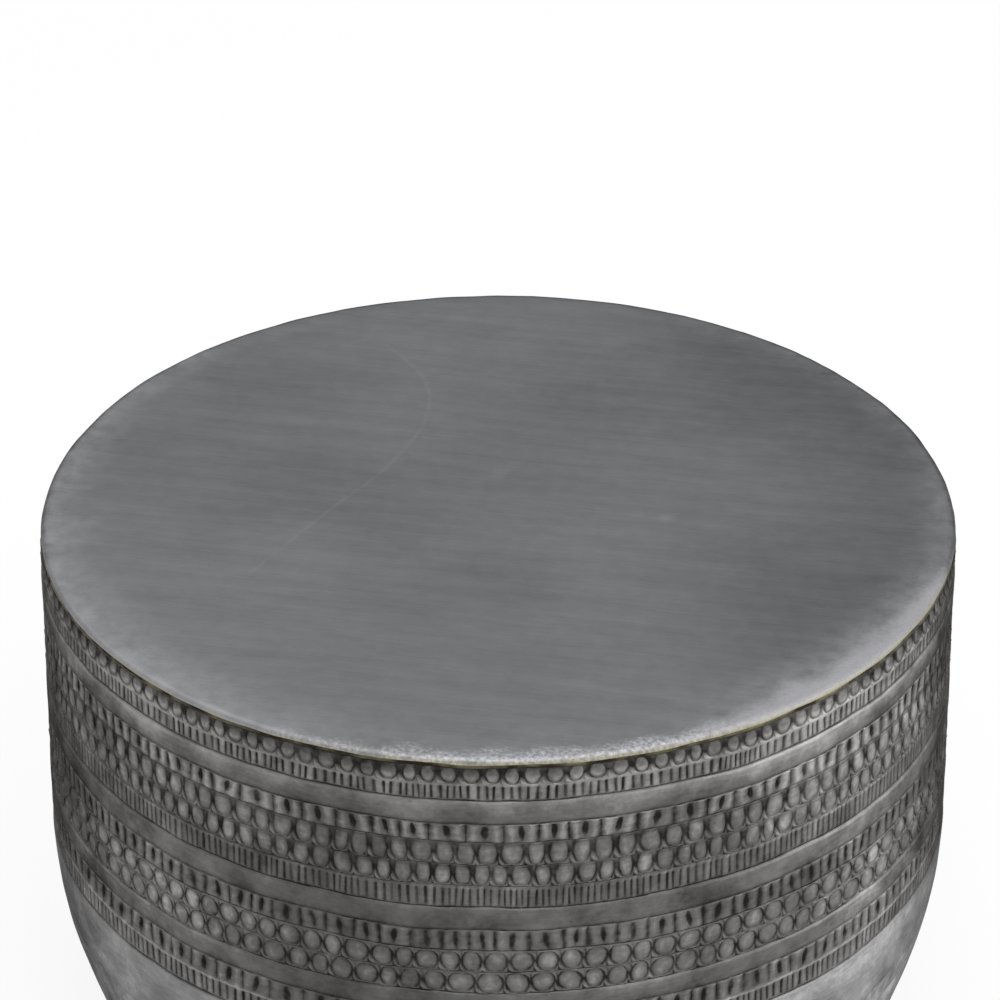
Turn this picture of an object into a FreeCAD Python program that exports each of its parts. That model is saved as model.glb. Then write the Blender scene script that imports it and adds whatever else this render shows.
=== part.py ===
import FreeCAD, Part
import math
import os
import Sketcher

# Drum coffee table of chased sheet metal. Millimetres, +Z up, origin on the floor under the
# middle of the table. A rolled wall with plain bands standing proud of its chased rows is
# hammered in over a hoop at the top, closed by a sheet top whose edge is turned down over it, and
# hammered inwards below to a flat ring that stands on rubber pads.

doc = FreeCAD.newDocument("drum_coffee_table")

# Driving dimensions
SIZES = (
    ("drum_diameter", 700.0),   # over the plain bands of the wall
    ("table_height", 450.0),    # floor to top
    ("top_gauge", 1.5),         # sheet of the top
    ("rim_rounding", 4.0),      # radius of the bend where the top turns down, on the outside
    ("lip_drop", 1.0),          # straight part of the lip below that bend
    ("lip_setback", 1.3),       # how far the lip stays inside the bands
    ("tuck_drop", 5.0),         # height over which the wall is hammered in under the lip
    ("wall_gauge", 2.0),        # sheet of the wall at its plain bands
    ("chase_depth", 0.8),       # how far the chased rows are sunk below the bands
    ("band_bevel", 1.0),        # height of the slope from a row to a band
    ("fit_clearance", 0.15),    # between curved pieces that nest
    ("bead_depth", 3.0),        # brazed bead under the lip
    ("first_rows", 29.8),       # heights down the wall, from the lip
    ("first_band", 19.5),
    ("second_rows", 73.3),
    ("second_band", 19.7),
    ("third_rows", 55.2),
    ("third_band", 17.7),
    ("fourth_rows", 35.4),
    ("bowl_lead", 11.0),        # how far above the rows' lower end the wall begins to curve inwards
    ("bowl_radius", 384.0),     # radius of that curve, on the outside
    ("wall_lift", 3.0),         # floor to the wall's trimmed edge
    ("hoop_gauge", 5.0),        # flat bar rolled into the hoop
    ("hoop_depth", 25.0),
    ("brace_width", 5.0),       # flat bars on edge under the top
    ("brace_depth", 25.0),
    ("brace_end_depth", 14.0),  # what is left of a bar at its bevelled ends
    ("brace_bevel", 18.0),      # length of that bevel
    ("base_ring_width", 28.0),
    ("base_ring_gauge", 4.0),
    ("pad_size", 22.0),         # side of the square rubber pads
    ("pad_height", 8.0),
    ("pad_bevel", 2.0),
    ("pad_margin", 3.0),        # from the ring's outer edge to the pads
)
RIM_COURSES = 2   # rounds of hammering that turn the rim down
BOWL_COURSES = 3  # rounds of hammering that leave the inside of the bowl in flat steps
PAD_COUNT = 6

sheet = doc.addObject("Spreadsheet::Sheet", "Sizes")
for row, (alias, size) in enumerate(SIZES, start=1):
    sheet.set(f"A{row}", alias)
    sheet.set(f"B{row}", str(size))
    sheet.setAlias(f"B{row}", alias)
doc.recompute()

# Radii and heights that several pieces share, worked out from the sheet
BAND_RADIUS = "(Sizes.drum_diameter / 2)"
ROW_RADIUS = f"({BAND_RADIUS} - Sizes.chase_depth)"
WALL_INNER_RADIUS = f"({BAND_RADIUS} - Sizes.wall_gauge)"
RIM_RADIUS = f"({BAND_RADIUS} - Sizes.lip_setback)"
BEND_RADIUS = f"({RIM_RADIUS} - Sizes.rim_rounding)"
BEND_HEIGHT = "(Sizes.table_height - Sizes.rim_rounding)"
TOP_UNDERSIDE = "(Sizes.table_height - Sizes.top_gauge)"
LIP_HEIGHT = f"({BEND_HEIGHT} - Sizes.lip_drop)"
LIP_INNER_RADIUS = f"({RIM_RADIUS} - Sizes.top_gauge)"
TUCK_RADIUS = f"({LIP_INNER_RADIUS} - Sizes.fit_clearance)"
TUCK_INNER_RADIUS = f"({TUCK_RADIUS} - Sizes.wall_gauge + Sizes.chase_depth)"
TUCK_BOTTOM = f"({LIP_HEIGHT} - Sizes.tuck_drop)"
HOOP_RADIUS = f"({WALL_INNER_RADIUS} - Sizes.fit_clearance)"
HOOP_INNER_RADIUS = f"({HOOP_RADIUS} - Sizes.hoop_gauge)"
HOOP_BOTTOM = f"({TUCK_BOTTOM} - Sizes.hoop_depth)"
ROWS_END = f"({LIP_HEIGHT} - Sizes.fourth_rows)"
for order in ("first", "second", "third"):
    ROWS_END = f"({ROWS_END} - Sizes.{order}_rows - Sizes.{order}_band)"
BOWL_CENTRE = f"({BAND_RADIUS} - Sizes.bowl_radius)"
BOWL_START = f"({ROWS_END} + Sizes.bowl_lead)"
COURSE_HEIGHT = f"(({BOWL_START} - Sizes.wall_lift) / {BOWL_COURSES})"
RING_TOP = "(Sizes.pad_height + Sizes.base_ring_gauge)"
HALF_PAD = "(Sizes.pad_size / 2)"


def inner_bowl(up):
    """Radius of the wall's inside at a height where one course of hammering meets the next."""
    return f"({BOWL_CENTRE} + sqrt((Sizes.bowl_radius - Sizes.wall_gauge)^2 - ({BOWL_START} - {up})^2))"


def ring_edge(up):
    """Radius of the base ring's edge at a height, along the lowest course of the wall's inside."""
    foot = inner_bowl("Sizes.wall_lift")
    course_top = inner_bowl(f"(Sizes.wall_lift + {COURSE_HEIGHT})")
    rise = f"(({up} - Sizes.wall_lift) / {COURSE_HEIGHT})"
    return f"({foot} + {rise} * ({course_top} - {foot}) - Sizes.fit_clearance)"


RING_INNER_RADIUS = f"({ring_edge('Sizes.pad_height')} - Sizes.base_ring_width)"
PAD_CIRCLE = f"({ring_edge('Sizes.pad_height')} - Sizes.pad_margin - {HALF_PAD})"

pieces = []


def value(expression):
    """Number that an expression over the sheet gives."""
    return float(sheet.evalExpression(expression))


def new_body(label):
    """Empty body of one piece of the table."""
    body = doc.addObject("PartDesign::Body", label)
    body.Label = label
    pieces.append(body)
    return body


def bind(sketch, constraint, name, expression):
    """Add a dimension to a sketch and tie it to the sheet."""
    index = sketch.addConstraint(constraint)
    sketch.renameConstraint(index, name)
    sketch.setExpression(f"Constraints.{name}", expression)


def pin_point(sketch, geometry, end, name, across, up):
    """Hold a point at its distances from the sketch's axes; None leaves a distance free."""
    for kind, axis, side, expression in (("DistanceX", -2, "across", across), ("DistanceY", -1, "up", up)):
        if expression == "0":
            sketch.addConstraint(Sketcher.Constraint("PointOnObject", geometry, end, axis))
        elif expression is not None:
            dimension = Sketcher.Constraint(kind, geometry, end, value(expression))
            bind(sketch, dimension, f"{name}_{side}", expression)


def draw_outline(body, corners, arcs=None, role="XZ_Plane"):
    """Closed outline through corners (across, up) on one of the body's origin planes.

    Edge number n runs from corner n to the next. arcs gives such an edge its centre (across, up),
    and then the corner that ends the arc leaves its distance across open, as None.
    """
    arcs = arcs or {}
    sketch = body.newObject("Sketcher::SketchObject", f"{body.Name}_outline")
    plane = [item for item in body.Origin.OriginFeatures if item.Role == role][0]
    sketch.AttachmentSupport = [(plane, "")]
    sketch.MapMode = "FlatFace"
    count = len(corners)
    spots = [first_spot(corners, arcs, index) for index in range(count)]
    starts = []
    for index, spot in enumerate(spots):
        following = spots[(index + 1) % count]
        if index in arcs:
            centre = FreeCAD.Vector(value(arcs[index][0]), value(arcs[index][1]), 0)
            angle = math.atan2(spot.y - centre.y, spot.x - centre.x)
            end_angle = math.atan2(following.y - centre.y, following.x - centre.x)
            turn = math.remainder(end_angle - angle, 2 * math.pi)
            circle = Part.Circle(centre, FreeCAD.Vector(0, 0, 1), (spot - centre).Length)
            low, high = sorted((angle, angle + turn))
            sketch.addGeometry(Part.ArcOfCircle(circle, low, high))
            starts.append(1 if turn > 0 else 2)
        else:
            sketch.addGeometry(Part.LineSegment(spot, following))
            starts.append(1)
    for index in range(count):
        following = (index + 1) % count
        joint = Sketcher.Constraint("Coincident", index, 3 - starts[index], following, starts[following])
        sketch.addConstraint(joint)
    for index, (across, up) in enumerate(corners):
        pin_point(sketch, index, starts[index], f"corner_{index}", across, up)
    for index, (across, up) in arcs.items():
        pin_point(sketch, index, 3, f"centre_{index}", across, up)
    sketch.Visibility = False
    return sketch


def first_spot(corners, arcs, index):
    """Where a corner is drawn at first; a distance left open is read off the arc that ends there."""
    across, up = corners[index]
    if across is not None:
        return FreeCAD.Vector(value(across), value(up), 0)
    centre_across, centre_up = (value(part) for part in arcs[index - 1])
    arc_start = first_spot(corners, arcs, index - 1)
    radius = math.hypot(arc_start.x - centre_across, arc_start.y - centre_up)
    reach = math.sqrt(radius ** 2 - (value(up) - centre_up) ** 2)
    return FreeCAD.Vector(centre_across + reach, value(up), 0)


def turned_piece(label, corners, arcs=None):
    """Piece made by turning one outline about the table's axis."""
    body = new_body(label)
    outline = draw_outline(body, corners, arcs)
    turned = body.newObject("PartDesign::Revolution", f"{label}_turned")
    turned.Profile = outline
    turned.ReferenceAxis = (outline, ["V_Axis"])
    turned.Angle = 360
    doc.recompute()


# Rolled wall, from the edge tucked under the lip down to the trimmed foot. The plain bands stand
# proud of the chased rows, and below the last rows the sheet is hammered inwards, round by round.
wall_corners = [
    (TUCK_INNER_RADIUS, BEND_HEIGHT),
    (TUCK_RADIUS, BEND_HEIGHT),
    (TUCK_RADIUS, LIP_HEIGHT),
    (ROW_RADIUS, TUCK_BOTTOM),
]
height = LIP_HEIGHT
for order in ("first", "second", "third"):
    band_top = f"({height} - Sizes.{order}_rows)"
    height = f"({band_top} - Sizes.{order}_band)"
    wall_corners += [
        (ROW_RADIUS, band_top),
        (BAND_RADIUS, f"({band_top} - Sizes.band_bevel)"),
        (BAND_RADIUS, f"({height} + Sizes.band_bevel)"),
        (ROW_RADIUS, height),
    ]
bowl_top = f"({ROWS_END} - Sizes.band_bevel)"
bowl_top_radius = f"({BOWL_CENTRE} + sqrt(Sizes.bowl_radius^2 - ({BOWL_START} - {bowl_top})^2))"
wall_corners.append((ROW_RADIUS, ROWS_END))
bowl_edge = len(wall_corners)
wall_corners += [(bowl_top_radius, bowl_top), (None, "Sizes.wall_lift")]
for course in range(BOWL_COURSES + 1):
    course_foot = f"(Sizes.wall_lift + {course} * {COURSE_HEIGHT})"
    wall_corners.append((inner_bowl(course_foot), course_foot))
wall_corners.append((WALL_INNER_RADIUS, TUCK_BOTTOM))
turned_piece("drum_wall", wall_corners, {bowl_edge: (BOWL_CENTRE, BOWL_START)})

# Flat bar rolled into a hoop, held under the tucked edge of the wall
turned_piece("rim_hoop", [
    (HOOP_INNER_RADIUS, TUCK_BOTTOM),
    (HOOP_RADIUS, TUCK_BOTTOM),
    (HOOP_RADIUS, HOOP_BOTTOM),
    (HOOP_INNER_RADIUS, HOOP_BOTTOM),
])

# Sheet top, its edge turned down over the wall; the bend's inside is packed with braze
top_corners = [("0", "Sizes.table_height")]
for course in range(RIM_COURSES + 1):
    turn = 90 * course / RIM_COURSES
    across = f"({BEND_RADIUS} + Sizes.rim_rounding * sin({turn}))"
    top_corners.append((across, f"({BEND_HEIGHT} + Sizes.rim_rounding * cos({turn}))"))
top_corners += [
    (RIM_RADIUS, LIP_HEIGHT),
    (LIP_INNER_RADIUS, LIP_HEIGHT),
    (LIP_INNER_RADIUS, BEND_HEIGHT),
    (BEND_RADIUS, TOP_UNDERSIDE),
    ("0", TOP_UNDERSIDE),
]
turned_piece("top_sheet", top_corners)

# Brazed bead under the lip, which runs down to a thin edge along the tuck's slope
TUCK_SLOPE = f"(({ROW_RADIUS} - {TUCK_RADIUS}) / Sizes.tuck_drop)"
turned_piece("braze_bead", [
    (LIP_INNER_RADIUS, LIP_HEIGHT),
    (RIM_RADIUS, LIP_HEIGHT),
    (f"({LIP_INNER_RADIUS} + Sizes.bead_depth * {TUCK_SLOPE})", f"({LIP_HEIGHT} - Sizes.bead_depth)"),
])

# Flat bars on edge under the top, welded to the hoop: one right across, two halves against it
BRACE_REACH = f"({HOOP_INNER_RADIUS} - Sizes.fit_clearance)"
BRACE_BOTTOM = f"({TOP_UNDERSIDE} - Sizes.brace_depth)"


def brace_end(sign):
    """Corners of a bar's end, from the top down, on the side of the sign."""
    return [
        (f"{sign}{BRACE_REACH}", TOP_UNDERSIDE),
        (f"{sign}{BRACE_REACH}", f"({TOP_UNDERSIDE} - Sizes.brace_end_depth)"),
        (f"{sign}({BRACE_REACH} - Sizes.brace_bevel)", BRACE_BOTTOM),
    ]


def brace(label, role, corners):
    """Bar padded evenly to both sides of a plane through the table's axis."""
    body = new_body(label)
    bar = body.newObject("PartDesign::Pad", f"{label}_bar")
    bar.Profile = draw_outline(body, corners, role=role)
    bar.Midplane = True
    bar.setExpression("Length", "Sizes.brace_width")
    body.Tip = bar
    doc.recompute()


brace("brace_long", "XZ_Plane", brace_end("-") + brace_end("")[::-1])
for label, sign in (("brace_front", "-"), ("brace_back", "")):
    side = f"{sign}(Sizes.brace_width / 2)"
    brace(label, "YZ_Plane", [(side, BRACE_BOTTOM), (side, TOP_UNDERSIDE)] + brace_end(sign))

# Flat ring welded inside the foot, which keeps it round
turned_piece("base_ring", [
    (RING_INNER_RADIUS, "Sizes.pad_height"),
    (ring_edge("Sizes.pad_height"), "Sizes.pad_height"),
    (ring_edge(RING_TOP), RING_TOP),
    (RING_INNER_RADIUS, RING_TOP),
])

# Square rubber pads glued under the ring, their soles bevelled all round
for number in range(PAD_COUNT):
    pad = new_body(f"foot_pad_{number + 1}")
    block = pad.newObject("PartDesign::Pad", f"{pad.Name}_block")
    block.Profile = draw_outline(pad, [
        (f"-{HALF_PAD}", f"-{HALF_PAD}"),
        (HALF_PAD, f"-{HALF_PAD}"),
        (HALF_PAD, HALF_PAD),
        (f"-{HALF_PAD}", HALF_PAD),
    ], role="XY_Plane")
    block.setExpression("Length", "Sizes.pad_height")
    doc.recompute()
    half_height = value("Sizes.pad_height") / 2
    low_edges = [edge.BoundBox.ZMax < half_height for edge in block.Shape.Edges]
    sole = [f"Edge{index}" for index, is_low in enumerate(low_edges, start=1) if is_low]
    bevel = pad.newObject("PartDesign::Chamfer", f"{pad.Name}_bevel")
    bevel.Base = (block, sole)
    bevel.setExpression("Size", "Sizes.pad_bevel")
    pad.Tip = bevel
    angle = 360 * number / PAD_COUNT
    pad.Placement.Rotation = FreeCAD.Rotation(FreeCAD.Vector(0, 0, 1), angle)
    pad.setExpression("Placement.Base.x", f"{PAD_CIRCLE} * cos({angle})")
    pad.setExpression("Placement.Base.y", f"{PAD_CIRCLE} * sin({angle})")

# Every object is checked before anything is written
doc.recompute()
for item in doc.Objects:
    if "Invalid" in item.State or "Error" in item.State:
        raise RuntimeError(f"{item.Label} failed to build")
for piece in pieces:
    if piece.Shape.isNull() or not piece.Shape.isValid():
        raise RuntimeError(f"{piece.Label} has no valid shape")

os.makedirs("parts", exist_ok=True)
for piece in pieces:
    piece.Shape.exportStep(f"parts/{piece.Label}.step")
    print(piece.Label, len(piece.Shape.Solids), round(piece.Shape.Volume))
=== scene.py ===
import math
import random

import bpy
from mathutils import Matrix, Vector, noise


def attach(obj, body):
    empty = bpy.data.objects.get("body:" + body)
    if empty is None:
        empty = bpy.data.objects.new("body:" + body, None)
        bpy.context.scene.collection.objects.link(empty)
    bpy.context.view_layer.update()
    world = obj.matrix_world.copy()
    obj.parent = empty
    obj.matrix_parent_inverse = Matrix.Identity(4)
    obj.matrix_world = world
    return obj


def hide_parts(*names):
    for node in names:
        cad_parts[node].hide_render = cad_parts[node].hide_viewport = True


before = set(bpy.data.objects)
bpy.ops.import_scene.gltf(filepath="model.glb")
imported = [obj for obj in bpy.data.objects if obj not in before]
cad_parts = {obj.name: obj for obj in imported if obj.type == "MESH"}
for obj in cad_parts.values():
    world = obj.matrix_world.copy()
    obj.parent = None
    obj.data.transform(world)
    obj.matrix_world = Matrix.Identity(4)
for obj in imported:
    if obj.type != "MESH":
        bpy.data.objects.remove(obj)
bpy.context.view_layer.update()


# Hoop, cross bars and base ring: flat mill steel, rolled or sawn to length, welded inside the
# drum and brushed over with black lacquer. They keep their solid shapes.

def put(tree, kind, inputs=None, **settings):
    """Add a node; each input is a plain value or the output that feeds it."""
    node = tree.nodes.new(kind)
    for name, setting in settings.items():
        setattr(node, name, setting)
    for socket, source in (inputs or {}).items():
        if isinstance(source, bpy.types.NodeSocket):
            tree.links.new(source, node.inputs[socket])
        else:
            node.inputs[socket].default_value = source
    return node


def new_finish(name, **fixed):
    """Empty material with its shader, whose constant sockets are set here."""
    finish = bpy.data.materials.new(name)
    finish.use_nodes = True
    shader = finish.node_tree.nodes["Principled BSDF"]
    for socket, setting in fixed.items():
        shader.inputs[socket.replace("_", " ")].default_value = setting
    return finish, finish.node_tree, shader


def paint_node(node_name, finish):
    """Give a solid that stays visible its finish."""
    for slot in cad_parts[node_name].material_slots:
        slot.material = finish


LACQUER_BLACK = (0.022, 0.022, 0.024, 1)
LACQUER_RUST = (0.075, 0.045, 0.03, 1)

lacquer, tree, shader = new_finish("black_lacquer", Metallic=0.0)
place = put(tree, "ShaderNodeTexCoord").outputs["Object"]
blotch = put(tree, "ShaderNodeTexNoise", {"Vector": place, "Scale": 45.0, "Detail": 6.0}).outputs["Fac"]
rust = put(tree, "ShaderNodeMapRange",
           {"Value": blotch, "From Min": 0.58, "From Max": 0.75}).outputs["Result"]
tint = put(tree, "ShaderNodeMix",
           {0: rust, 6: LACQUER_BLACK, 7: LACQUER_RUST}, data_type="RGBA").outputs[2]
brushing = put(tree, "ShaderNodeMapping",
               {"Vector": place, "Scale": (30.0, 30.0, 400.0)}).outputs["Vector"]
hairs = put(tree, "ShaderNodeTexNoise", {"Vector": brushing, "Scale": 4.0, "Detail": 3.0}).outputs["Fac"]
dull = put(tree, "ShaderNodeMapRange", {"Value": hairs, "To Min": 0.35, "To Max": 0.6}).outputs["Result"]
ripple = put(tree, "ShaderNodeBump",
             {"Height": hairs, "Strength": 0.25, "Distance": 0.0004}).outputs["Normal"]
tree.links.new(tint, shader.inputs["Base Color"])
tree.links.new(dull, shader.inputs["Roughness"])
tree.links.new(ripple, shader.inputs["Normal"])
for bar in ("rim_hoop", "brace_long", "brace_front", "brace_back", "base_ring"):
    paint_node(bar, lacquer)


# Plain bands and bowl of the wall: the parts of the rolled sheet that are left unchased. The bands
# stand a little proud between two chased lines, and the bowl is hammered inwards and rubbed down.

BAND_RADIUS = 0.35
ROW_RADIUS = 0.3492       # the chased field, about which the motifs rise and sink
WALL_INSIDE = 0.348
LIP_HEIGHT = 0.445
TUCK_DROP = 0.005         # height over which the wall is hammered in under the lip
TUCK_DEPTH = 0.00215
BOWL_START = 0.2054
BOWL_RADIUS = 0.384
SHEET_GAUGE = 0.002
LINE_DEPTH = 0.0005       # the chased lines that part the rows
WALL_SIDES = 288
# Each band carries painted light along its top and painted shade towards its foot, and painted light on its
# right side.
BANDS = {                 # two heights, film of wax, its fall from edge to edge, paleness of the right
    "band_upper": (0.3957, 0.4152, -0.1, 0.36, 0.34),
    "band_middle": (0.3027, 0.3224, 0.36, 0.1, 0.95),
    "band_lower": (0.2298, 0.2475, 0.2, 0.1, 0.4),
}
BOWL_TOP = 0.1944
HATCH_ROW = (0.117, 0.137)
FOOT_EDGE = 0.003
MILLIMETRE = 0.001


def field_radius(height):
    """Radius of the chased field, which follows the tuck under the lip and the curve of the bowl."""
    if height < BOWL_START:
        return ROW_RADIUS - BOWL_RADIUS + math.sqrt(BOWL_RADIUS ** 2 - (BOWL_START - height) ** 2)
    tucked = max(height - LIP_HEIGHT + TUCK_DROP, 0) / TUCK_DROP
    return ROW_RADIUS - TUCK_DEPTH * tucked


def start_fresh():
    """Leave edit mode and let go of everything that is selected."""
    if bpy.context.object and bpy.context.object.mode != "OBJECT":
        bpy.ops.object.mode_set(mode="OBJECT")
    bpy.ops.object.select_all(action="DESELECT")


def turned_ring(name, profile):
    """Closed ring raised from a circle, one extrusion for each point (radius, height) of its profile."""
    start_fresh()
    radius, height = profile[0]
    bpy.ops.mesh.primitive_circle_add(vertices=WALL_SIDES, radius=radius, location=(0, 0, height))
    bpy.ops.object.transform_apply(location=True)
    ring = bpy.context.object
    ring.name = name
    ring.data.name = name
    bpy.ops.object.mode_set(mode="EDIT")
    bpy.ops.mesh.select_all(action="SELECT")
    for next_radius, next_height in profile[1:] + profile[:1]:
        bpy.ops.mesh.extrude_region_move(TRANSFORM_OT_translate={"value": (0, 0, next_height - height)})
        widen = next_radius / radius
        bpy.ops.transform.resize(value=(widen, widen, 1), center_override=(0, 0, next_height))
        radius, height = next_radius, next_height
    bpy.ops.mesh.select_all(action="SELECT")
    bpy.ops.mesh.remove_doubles(threshold=1e-6)
    bpy.ops.mesh.normals_make_consistent(inside=False)
    bpy.ops.object.mode_set(mode="OBJECT")
    return ring


BARE_RISE = 0.8 * MILLIMETRE
WAX_SPAN = 1.7 * MILLIMETRE


def wax_at(rise):
    """Share of dark wax that rubbing leaves at a point that rises this far from the field."""
    return min(max((BARE_RISE - rise) / WAX_SPAN, -0.25), 1.25)


def hammer(piece, wave=0.0003, ripple=0.0002, wander=0.0015):
    """Put the unevenness of hand work into a wall piece: dents in and out, and lines that wander."""
    for vertex in piece.data.vertices:
        spot = vertex.co
        across = Vector((spot.x, spot.y, 0))
        front = across.length - field_radius(spot.z) + 1.18 * MILLIMETRE
        if front < 0:
            continue
        out = max(wave * noise.noise(spot * 16) + ripple * noise.noise(spot * 55), -0.8 * front)
        up = wander * (noise.noise(spot * 19 + Vector((7, 3, 5))) + 0.4 * noise.noise(spot * 60))
        vertex.co = spot + across.normalized() * out + Vector((0, 0, up))


# The sides below are painted paler or darker on the drum, as light and shade.
RIGHT_SIDE = 1.17         # turns from the front, in radians, of the sides that are paler or darker
LEFT_SIDE = -0.95
LEFT_OF_FRONT = -0.33
FAR_SIDES = 1.4
RIGHT_SLANT = 0.8         # the right side's turn falls by this for each metre of height
LEFT_AT_FLOOR = 0.63
LEFT_FADE = 1.2           # loss of the left side's strength for each metre of height
FRONT_DARKENING = 0.26
FAR_RIGHT_DARKENING = 0.36
FAR_LEFT_DARKENING = 0.2
PAINTED_LIGHT_WAX_THINNING = 0.35


def on_side(turn, middle, width):
    """Share, from 0 to 1, to which a turn from the front belongs to a side of the drum."""
    return math.exp(-((turn - middle) / width) ** 2)


def paint_light_and_shade(piece, share=0.35, right=0.34, left=0.75):
    """Paint light and shade: less wax on slopes that face upwards, as light from above, and some sides
    painted paler and others darker.
    """
    wax_and_painted_shading = piece.data.attributes["wax_and_painted_shading"].data
    painted_side_shading = piece.data.attributes.new("painted_side_shading", "FLOAT", "POINT").data
    for vertex in piece.data.vertices:
        turn = math.atan2(vertex.co.x, -vertex.co.y)
        height = vertex.co.z
        bright = right * on_side(turn, RIGHT_SIDE - RIGHT_SLANT * height, 0.28)
        bright += left * (LEFT_AT_FLOOR - LEFT_FADE * height) * on_side(turn, LEFT_SIDE, 0.28)
        far = FAR_RIGHT_DARKENING if turn > 0 else FAR_LEFT_DARKENING
        dark = FRONT_DARKENING * on_side(turn, LEFT_OF_FRONT, 0.24)
        dark += far * on_side(abs(turn), FAR_SIDES, 0.25)
        # Painted light: wax is thinned on upward slopes by share and on the sides painted pale; the colour
        # scale below is painted light on the right and left, and painted shade left of the front and at the
        # far sides.
        wax_and_painted_shading[vertex.index].value -= share * vertex.normal.z + PAINTED_LIGHT_WAX_THINNING * bright
        painted_side_shading[vertex.index].value = 1 + bright - dark


def finish_piece(piece, finish, node_name):
    """Shade a piece, give it its material and tie it to the solid it stands for."""
    start_fresh()
    piece.select_set(True)
    bpy.context.view_layer.objects.active = piece
    bpy.ops.object.shade_smooth_by_angle(angle=math.radians(60))
    piece.data.materials.clear()
    piece.data.materials.append(finish)
    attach(piece, "root")
    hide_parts(node_name)


def waxed_sheet_group():
    """Node group: rubbed sheet metal, mottled and scuffed, with dark wax where the mask says; the mask also
    carries painted light and shade.
    """
    group = bpy.data.node_groups.new("waxed_sheet", "ShaderNodeTree")
    for name, kind in (("Wax_and_painted_shading", "Float"), ("Rubbed", "Color"), ("Waxed", "Color"), ("Mottle", "Float"),
                       ("Satin", "Float")):
        group.interface.new_socket(name, in_out="INPUT", socket_type=f"NodeSocket{kind}")
    for name, kind in (("Color", "Color"), ("Roughness", "Float"), ("Height", "Float")):
        group.interface.new_socket(name, in_out="OUTPUT", socket_type=f"NodeSocket{kind}")
    given = put(group, "NodeGroupInput").outputs
    place = put(group, "ShaderNodeTexCoord").outputs["Object"]
    clouds = put(group, "ShaderNodeTexNoise",
                 {"Vector": place, "Scale": 38.0, "Detail": 6.0, "Roughness": 0.65})
    grains = put(group, "ShaderNodeTexNoise", {"Vector": place, "Scale": 230.0, "Detail": 4.0})
    along = put(group, "ShaderNodeMapping", {"Vector": place, "Scale": (0.2, 0.2, 1.0)}).outputs["Vector"]
    scuffs = put(group, "ShaderNodeTexNoise",
                 {"Vector": along, "Scale": 420.0, "Detail": 3.0}).outputs["Fac"]
    tides = put(group, "ShaderNodeTexNoise",
                {"Vector": place, "Scale": 11.0, "Detail": 2.0}).outputs["Fac"]
    centred = put(group, "ShaderNodeMath",
                  {0: tides, 1: 0.5, 2: clouds.outputs["Fac"]}, operation="MULTIPLY_ADD").outputs[0]
    centred = put(group, "ShaderNodeMath", {0: centred, 1: -0.75}, operation="ADD").outputs[0]
    swing = put(group, "ShaderNodeMath",
                {0: centred, 1: given["Mottle"]}, operation="MULTIPLY").outputs[0]
    fine = put(group, "ShaderNodeMapRange",
               {"Value": grains.outputs["Fac"], "To Min": 0.5, "To Max": 1.2})
    worn = put(group, "ShaderNodeMapRange",
               {"Value": scuffs, "To Min": -0.12, "To Max": 0.42}).outputs["Result"]
    tone = put(group, "ShaderNodeMath", {0: swing, 1: fine.outputs["Result"]}, operation="ADD").outputs[0]
    tone = put(group, "ShaderNodeMath", {0: tone, 1: worn}, operation="ADD").outputs[0]
    broken = put(group, "ShaderNodeMapRange",
                 {"Value": grains.outputs["Fac"], "To Min": -0.45, "To Max": 0.45}).outputs["Result"]
    film = put(group, "ShaderNodeMath", {0: given["Wax_and_painted_shading"], 1: broken}, operation="ADD").outputs[0]
    film = put(group, "ShaderNodeMath", {0: swing, 1: -0.4, 2: film}, operation="MULTIPLY_ADD").outputs[0]
    # Where the mask falls below nothing the metal turns paler: partly rubbed high points, partly painted
    # light.
    polish_and_painted_light = put(group, "ShaderNodeMapRange", {"Value": film, "From Min": 0.0, "From Max": -0.5,
                                               "To Min": 1.0, "To Max": 1.9}).outputs["Result"]
    tone = put(group, "ShaderNodeMath", {0: tone, 1: polish_and_painted_light}, operation="MULTIPLY").outputs[0]
    rubbed = put(group, "ShaderNodeVectorMath",
                 {0: given["Rubbed"], "Scale": tone}, operation="SCALE").outputs[0]
    mask = put(group, "ShaderNodeMapRange", {"Value": film, "From Min": -0.05, "From Max": 1.25},
               interpolation_type="SMOOTHSTEP").outputs["Result"]
    colour = put(group, "ShaderNodeMix",
                 {0: mask, 6: rubbed, 7: given["Waxed"]}, data_type="RGBA").outputs[2]
    dull = put(group, "ShaderNodeMapRange", {"Value": mask, "To Min": given["Satin"], "To Max": 0.7})
    wavering = put(group, "ShaderNodeMath", {0: centred, 1: 0.35}, operation="MULTIPLY").outputs[0]
    roughness = put(group, "ShaderNodeMath",
                    {0: dull.outputs["Result"], 1: wavering}, operation="ADD").outputs[0]
    height = put(group, "ShaderNodeMath",
                 {0: grains.outputs["Fac"], 1: clouds.outputs["Fac"]}, operation="ADD")
    put(group, "NodeGroupOutput", {"Color": colour, "Roughness": roughness, "Height": height.outputs[0]})
    return group


waxed_sheet = waxed_sheet_group()
EDGE_DARKENING = (0.16, 0.16, 0.165, 1)
WAX_AND_SHADE_BLACK = (0.027, 0.0245, 0.022, 1)


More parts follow.
